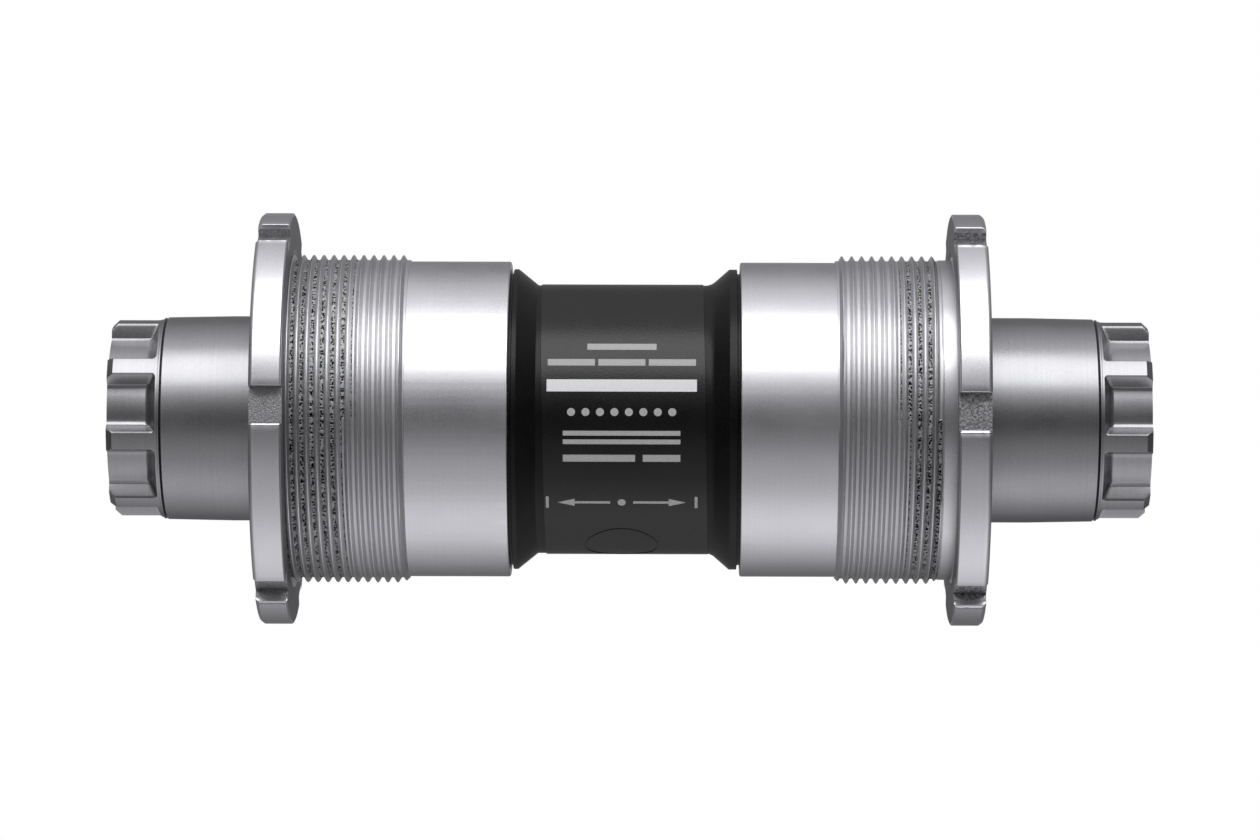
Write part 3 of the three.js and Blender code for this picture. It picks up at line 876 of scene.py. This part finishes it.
def build_sleeve():
    low, high, _ = span("sleeve")
    left_cup = span("left_cup")[1]
    right_cup = span("right_cup")[0]
    spigot = CUP_BORE_RADIUS - 0.3
    groove_half = 0.6
    groove_floor = spigot - 0.9
    gap = 0.05
    corners = []
    for side, sign, cup, tip in (("right", 1, right_cup, high), ("left", -1, left_cup, low)):
        start, end, rounding = SLEEVE_FLARES[side]
        ring_at = span(f"{side}_o_ring")
        middle = (ring_at[0] + ring_at[1]) / 2
        rim = cup - sign * 0.3
        end_corners = [
            (sign * start, SLEEVE_RADIUS, rounding),
            (sign * end, SLEEVE_RIM_RADIUS, 0.22),
            (rim, SLEEVE_RIM_RADIUS, 0.1),
            (rim, SLEEVE_GROOVE_RADIUS),
            (cup - sign * gap, SLEEVE_GROOVE_RADIUS),
            (cup - sign * gap, spigot),
            (middle - sign * groove_half, spigot),
            (middle - sign * groove_half, groove_floor),
            (middle + sign * groove_half, groove_floor),
            (middle + sign * groove_half, spigot),
            (tip - sign * 0.3, spigot),
            (tip, spigot - 0.3),
            (tip, SLEEVE_BORE_RADIUS),
        ]
        corners += end_corners if sign > 0 else end_corners[::-1]
    work = turned(even_columns(ROUND_COLUMNS), plain_rows(fillet(corners, 6)))
    piece("sleeve_piece", work, [PLASTIC], "housing")


def label_rows():
    """The wrap's outline; its edges lean a little, because it was wound on slightly askew."""
    low, high = LABEL_EDGES
    inner = SLEEVE_RADIUS + 0.01
    outer = SLEEVE_RADIUS + LABEL_THICKNESS
    soft = 0.03
    points = [(low, inner), (low, outer - soft), (low + soft, outer)]
    points += [(high - soft, outer), (high, outer - soft), (high, inner)]

    def leaning(x, radius):
        def place(column):
            skew = LABEL_SKEW / 2 * (1 - math.sin(math.radians(column.angle)))
            return (x + skew, radius, column.angle)

        return Row(place)

    return [leaning(*point) for point in points]


def wrapped(x, along, radius):
    """A point of the flat print: along is the distance round the label, upwards from the camera's line."""
    return polar(x, radius, math.degrees(along / radius)) * MM


def raised_strip(work, samples, low, high):
    """A thin closed pad on the label. samples are (along, left x, right x) from one end to the other."""
    rings = []
    for along, left, right in samples:
        corners = [(left, low), (right, low), (right, high), (left, high)]
        rings.append([work.verts.new(wrapped(x, along, radius)) for x, radius in corners])
    for ring, following in zip(rings, rings[1:]):
        for i in range(4):
            work.faces.new([ring[i], ring[(i + 1) % 4], following[(i + 1) % 4], following[i]])
    work.faces.new(rings[0])
    work.faces.new(rings[-1])


def bar(along, left, right, height):
    steps = max(2, math.ceil(height / 0.35))
    return [(along - height / 2 + height * i / steps, left, right) for i in range(steps + 1)]


def disc(along, x, radius):
    samples = []
    for i in range(11):
        turn = math.pi * i / 10
        half = radius * math.sin(turn)
        samples.append((along - radius * math.cos(turn), x - half, x + half))
    return samples


def arrowhead(along, tip, back, height):
    samples = []
    for row in (-1.0, -0.5, 0.0, 0.5, 1.0):
        edge = back + (tip - back) * (1 - abs(row))
        samples.append((along + row * height / 2, min(edge, back), max(edge, back)))
    return samples


def label_marks(middle):
    """Generic print: rules and dots, then two arrows that point outwards from a dot to two ticks."""
    rule = 0.75
    thin_rule = 0.5
    dot = 0.42
    marks = [bar(7.95, middle - 3.6, middle + 3.6, rule)]
    for i in range(3):
        left = middle - 7.7 + 5.25 * i
        marks.append(bar(6.1, left, left + 4.9, rule))
    marks += [disc(0.75, middle - 5.25 + 1.5 * i, dot) for i in range(8)]
    marks += [bar(along, middle - 6.1, middle + 6.1, thin_rule) for along in (-1.45, -2.35)]
    marks += [bar(-4.1, middle - 6.1, middle + 1.4, rule), bar(-4.1, middle + 2.2, middle + 6.1, rule)]
    arrow = -9.3
    for side in (-1, 1):
        marks.append(bar(arrow, *sorted((middle + side * 7.6, middle + side * 7.9)), 1.5))
        marks.append(arrowhead(arrow, middle + side * 6.7, middle + side * 4.9, 0.95))
        marks.append(bar(arrow, *sorted((middle + side * 5.1, middle + side * 1.2)), 0.3))
    marks.append(disc(arrow, middle, dot))
    return marks


def add_ring_mark(work, along, x, radius, low, high):
    """A thin raised circle on the label."""
    steps = 96
    half = 0.09
    rings = []
    for i in range(steps):
        turn = 2 * math.pi * i / steps
        corners = [(radius - half, low), (radius + half, low), (radius + half, high), (radius - half, high)]
        ring = []
        for reach, level in corners:
            point = wrapped(x + reach * math.sin(turn), along + reach * math.cos(turn), level)
            ring.append(work.verts.new(point))
        rings.append(ring)
    for i, ring in enumerate(rings):
        following = rings[(i + 1) % steps]
        for j in range(4):
            work.faces.new([ring[j], ring[(j + 1) % 4], following[(j + 1) % 4], following[j]])


def add_print(name, marks, ink):
    surface = SLEEVE_RADIUS + LABEL_THICKNESS
    work = bmesh.new()
    for samples in marks:
        raised_strip(work, samples, surface - SUNK, surface + PRINT_HEIGHT)
    piece(name, work, [ink], "housing", nodes=["label"])


def build_label():
    work = turned(even_columns(ROUND_COLUMNS), label_rows())
    piece("label_piece", work, [FILM], "housing")
    add_print("label_print", label_marks(PRINT_MIDDLE), INK)
    wide_bar = bar(3.55, PRINT_MIDDLE - 7.8, PRINT_MIDDLE + 7.8, 1.3)
    add_print("label_wide_bar", [wide_bar], BRIGHT_INK)
    surface = SLEEVE_RADIUS + LABEL_THICKNESS
    ring = bmesh.new()
    add_ring_mark(ring, -17.2, -0.8, 3.8, surface - SUNK, surface + RING_MARK_HEIGHT)
    piece("label_ring", ring, [FILM], "housing", nodes=["label"])


# ---- Bearings and seals -------------------------------------------------------------------------

SIDES = {
    "left": dict(cup="adjustable_cup", balls="left_balls", needles="left_needles"),
    "right": dict(cup="housing", balls="right_balls", needles="right_needles"),
}
LIP_RADIUS = JOURNAL_RADIUS + 0.05
BALL_RADIUS = 3.175 / 2
BALL_COUNT = 14
NEEDLE_COUNT = 14
NEEDLE_RADIUS = 1.2
BALL_PITCH_RADIUS = 13.0
TRACK_GAP = 0.03  # between a ball and its tracks


def local_span(side, node):
    """A node's two ends measured inwards from its cup's outer end, and its radius."""
    low, high, radius = span(node)
    if side == "left":
        origin = span("left_cup")[0]
        return low - origin, high - origin, radius
    origin = span("right_cup")[1]
    return origin - high, origin - low, radius


def turned_in_cup(side, columns, rows):
    """A turned mesh whose rows are given in its cup's own frame."""
    if side == "right":
        return turned(columns, rows, mirror=span("right_cup")[1])
    work = turned(columns, rows)
    shift(work, span("left_cup")[0])
    return work


def lathe(side, name, corners, material, body):
    """A plain turned ring, given in its cup's own frame."""
    work = turned_in_cup(side, even_columns(144), plain_rows(fillet(corners)))
    piece(f"{side}_{name}_piece", work, [material], body)


def build_seal(side, body):
    start, end, outer = local_span(side, f"{side}_seal")
    corners = [
        (start, outer, 0.15),
        (start, outer - 0.9, 0.15),
        (start + 0.35, outer - 1.3, 0.2),
        (start + 0.35, LIP_RADIUS + 1.1, 0.3),
        (start + 0.05, LIP_RADIUS + 0.45, 0.15),
        (start + 0.6, LIP_RADIUS, 0.08),
        (start + 1.0, LIP_RADIUS + 0.15, 0.1),
        (start + 1.2, LIP_RADIUS + 1.2, 0.2),
        (start + 1.2, outer - 1.0),
        (end, outer - 0.8, 0.1),
        (end, outer, 0.15),
    ]
    lathe(side, "seal", corners, RUBBER, body)


def build_needle_race(side, body):
    start, end, outer = local_span(side, f"{side}_needle_race")
    lip = 13.0
    wall = 1.0
    lip_width = 0.6
    edge = 0.15
    corners = [
        (start, outer, 0.4),
        (start, lip, edge),
        (start + lip_width, lip, edge),
        (start + lip_width, outer - wall, edge),
        (end - lip_width, outer - wall, edge),
        (end - lip_width, lip, edge),
        (end, lip, edge),
        (end, outer, 0.4),
    ]
    lathe(side, "needle_race", corners, GROUND, body)


def build_ball_race(side, body):
    start, _, outer = local_span(side, f"{side}_ball_race")
    inner = 11.5
    track = arc(ball_centre(side), BALL_RADIUS + TRACK_GAP, 180, 118)
    corners = [(start, outer, 0.2), (start, inner, 0.2), (track[0][0], inner, 0.1)] + track
    corners += [(track[-1][0], outer, 0.02)]
    lathe(side, "ball_race", corners, GROUND, body)


def build_cone(side):
    _, end, outer = local_span(side, f"{side}_cone")
    track = arc(ball_centre(side), BALL_RADIUS + TRACK_GAP, 298, 360)
    corners = track + [(track[-1][0], outer, 0.15), (end, outer, 0.2), (end, LIP_RADIUS, 0.1)]
    corners += [(track[0][0], LIP_RADIUS)]
    lathe(side, "cone", corners, GROUND, "axle")


def ball_centre(side):
    """Where the balls run: along X in their cup's own frame, and out from the axis."""
    start, end, _ = local_span(side, f"{side}_ball_01")
    return ((start + end) / 2, BALL_PITCH_RADIUS)


def build_balls(side, body):
    for i in range(BALL_COUNT):
        name = f"{side}_ball_{i + 1:02d}"
        low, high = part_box(name)
        work = bmesh.new()
        bmesh.ops.create_uvsphere(work, u_segments=32, v_segments=20, radius=BALL_RADIUS * MM)
        bmesh.ops.translate(work, verts=work.verts, vec=(Vector(low) + Vector(high)) / 2)
        piece(f"{name}_piece", work, [GROUND], body, sharp=60)


def build_ball_cage(side, body):
    """A crown retainer, whose rim dips into a round pocket at each ball."""
    start, end, outer = local_span(side, f"{side}_ball_cage")
    centre = ball_centre(side)[0]
    clear = BALL_RADIUS + 0.12
    pitch = 360 / BALL_COUNT
    offsets = [pitch * (i / 24 - 0.5) for i in range(24)]
    columns = toothed_columns(BALL_COUNT, 0, offsets, abs)

    def pocket(radius):
        def place(column):
            across = math.radians(column.depth) * radius
            edge = centre + math.sqrt(max(clear**2 - across**2, 0.0))
            return (edge if across < clear and edge > start else start, radius, column.angle)

        return Row(place)

    inner = outer - 0.8
    rows = [pocket(inner), pocket(outer), plain(end, outer), plain(end, inner)]
    work = turned_in_cup(side, columns, rows)
    piece(f"{side}_ball_cage_piece", work, [NYLON], body)


def build_needle_cage(side, body):
    """The rollers and the two rings that space them."""
    low, high, _ = span(f"{side}_needle_cage")
    pitch_radius = JOURNAL_RADIUS + 0.3 + NEEDLE_RADIUS
    inner = pitch_radius - 0.7
    outer = pitch_radius + 0.7
    width = 0.9
    work = bmesh.new()
    for start in (low, high - width):
        corners = [(start, inner), (start, outer), (start + width, outer), (start + width, inner)]
        part = turned(even_columns(112), plain_rows(corners))
        data = bpy.data.meshes.new("part")
        part.to_mesh(data)
        part.free()
        work.from_mesh(data)
        bpy.data.meshes.remove(data)
    for i in range(NEEDLE_COUNT):
        centre = polar(0, pitch_radius, 360 / NEEDLE_COUNT * i)
        add_roller(work, centre, low + 0.2, high - 0.2)
    piece(f"{side}_needle_cage_piece", work, [GROUND], body)


def add_roller(work, centre, start, end):
    sides = 24
    edge = 0.15
    profile = [(start, 0.0), (start, NEEDLE_RADIUS - edge), (start + edge, NEEDLE_RADIUS)]
    profile += [(end - edge, NEEDLE_RADIUS), (end, NEEDLE_RADIUS - edge), (end, 0.0)]
    rings = []
    for x, radius in profile:
        count = sides if radius else 1
        points = [polar(x, radius, 360 * i / count) for i in range(count)]
        rings.append([work.verts.new((point + centre) * MM) for point in points])
    for ring, following in zip(rings, rings[1:]):
        for i in range(sides):
            loop = [ring[i % len(ring)], ring[(i + 1) % len(ring)]]
            loop += [following[(i + 1) % len(following)], following[i % len(following)]]
            work.faces.new(list(dict.fromkeys(loop)))


def build_o_ring(side):
    start, end, outer = local_span(side, f"{side}_o_ring")
    radius = (end - start) / 2
    section = arc(((start + end) / 2, outer - radius), radius, 0, 345, 23)
    lathe(side, "o_ring", section, RUBBER, "housing")


def build_bearings():
    for side, bodies in SIDES.items():
        build_seal(side, bodies["cup"])
        build_needle_race(side, bodies["cup"])
        build_needle_cage(side, bodies["needles"])
        build_ball_race(side, bodies["cup"])
        build_ball_cage(side, bodies["balls"])
        build_balls(side, bodies["balls"])
        build_cone(side)
        build_o_ring(side)


# ---- Studio -------------------------------------------------------------------------------------

CAMERA_DISTANCE = 0.6
CAMERA_OFFSET = 0.005  # towards the drive side
CAMERA_HEIGHT = -0.00007
VIEW_WIDTH = 0.1338  # width of the view at the spindle
VIEW_ROLL = 0.15  # degrees
FLOOR_DROP = 0.12  # from the object's lowest point down to the floor
FLOOR_RADIUS = 0.95


def build_camera():
    data = bpy.data.cameras.new("camera")
    data.sensor_width = 36
    data.lens = data.sensor_width * CAMERA_DISTANCE / VIEW_WIDTH
    camera = bpy.data.objects.new("camera", data)
    camera.location = (CAMERA_OFFSET, -CAMERA_DISTANCE, CAMERA_HEIGHT)
    turn = Euler((math.radians(90), 0, math.atan(CAMERA_OFFSET / CAMERA_DISTANCE))).to_matrix()
    camera.rotation_euler = (turn @ Matrix.Rotation(math.radians(VIEW_ROLL), 3, "Z")).to_euler()
    bpy.context.scene.collection.objects.link(camera)
    bpy.context.scene.camera = camera


def build_floor():
    work = bmesh.new()
    bmesh.ops.create_circle(work, cap_ends=True, segments=96, radius=FLOOR_RADIUS)
    data = bpy.data.meshes.new("floor")
    work.to_mesh(data)
    work.free()
    pale = Surface("floor", Roughness=0.9)
    pale.color(pale.blend(pale.spread(pale.noise(60.0), 0.0, 1.0), grey(0.86), grey(0.9)))
    data.materials.append(pale.material)
    floor = bpy.data.objects.new("floor", data)
    floor.location.z = CAD_BOX[0][2] - FLOOR_DROP
    bpy.context.scene.collection.objects.link(floor)
    floor.visible_glossy = False


def softbox(name, location, size, watts):
    data = bpy.data.lights.new(name, "AREA")
    data.shape = "RECTANGLE"
    data.size, data.size_y = size
    data.energy = watts
    light = bpy.data.objects.new(name, data)
    light.location = location
    light.rotation_euler = (-Vector(location)).to_track_quat("-Z", "Y").to_euler()
    bpy.context.scene.collection.objects.link(light)


# Brightness of the studio round the X axis: degrees from the camera's side upwards, then the level seen
# by the left end and by the right end.
STUDIO = [
    (-180, 0.3, 0.3), (-158, 0.14, 0.12), (-138, 0.26, 0.22), (-115, 0.5, 0.5), (-90, 0.82, 1.0),
    (-72, 0.8, 0.95), (-52, 0.55, 0.55), (-26, 0.42, 0.36), (-10, 0.2, 0.12), (3, 0.1, 0.06), (18, 0.3, 0.3),
    (34, 0.85, 0.85), (90, 0.9, 0.9), (112, 0.6, 0.6), (138, 0.26, 0.24), (160, 0.2, 0.2), (180, 0.4, 0.4),
]


def studio_ramp(nodes, share, column):
    ramp = nodes.node("ShaderNodeValToRGB", {0: share})
    stops = ramp.color_ramp.elements
    for entry in STUDIO[1:-1]:
        stops.new(entry[0] / 360 + 0.5)
    for stop, entry in zip(stops, STUDIO):
        stop.color = grey(entry[column], 0.035)
    return ramp.outputs[0]


def build_world():
    """A studio that only reflections and lighting see; the camera itself sees plain white."""
    world = bpy.data.worlds.new("studio")
    bpy.context.scene.world = world
    world.use_nodes = True
    nodes = Nodes(world.node_tree)
    nodes.tree.nodes.clear()
    direction = nodes.node("ShaderNodeTexCoord").outputs["Generated"]
    x, y, z = nodes.node("ShaderNodeSeparateXYZ", {0: direction}).outputs
    turn = nodes.math("ARCTAN2", z, nodes.math("MULTIPLY", y, -1.0))
    share = nodes.spread(turn, 0.0, 1.0, -math.pi, math.pi)
    right = nodes.spread(x, 0.0, 1.0, -0.08, 0.07)
    around = nodes.blend(right, studio_ramp(nodes, share, 1), studio_ramp(nodes, share, 2))
    endwards = nodes.spread(nodes.math("ABSOLUTE", x), 0.0, 1.0, 0.55, 0.95)
    studio = nodes.node("ShaderNodeBackground", {0: nodes.blend(endwards, around, grey(0.1))})
    white = nodes.node("ShaderNodeBackground", {0: (1, 1, 1, 1)})
    seen = nodes.node("ShaderNodeLightPath").outputs["Is Camera Ray"]
    mixed = nodes.node("ShaderNodeMixShader", {0: seen, 1: studio.outputs[0], 2: white.outputs[0]})
    nodes.node("ShaderNodeOutputWorld", {0: mixed.outputs[0]})


# ---- Everything ---------------------------------------------------------------------------------

build_camera()
build_spindle()
build_left_cup()
build_right_cup()
build_lockring()
build_sleeve()
build_label()
build_bearings()
build_floor()
build_world()
softbox("key", (0, -0.3, 0.48), (1.2, 0.4), 3.0)
bpy.context.scene.view_settings.view_transform = "Standard"
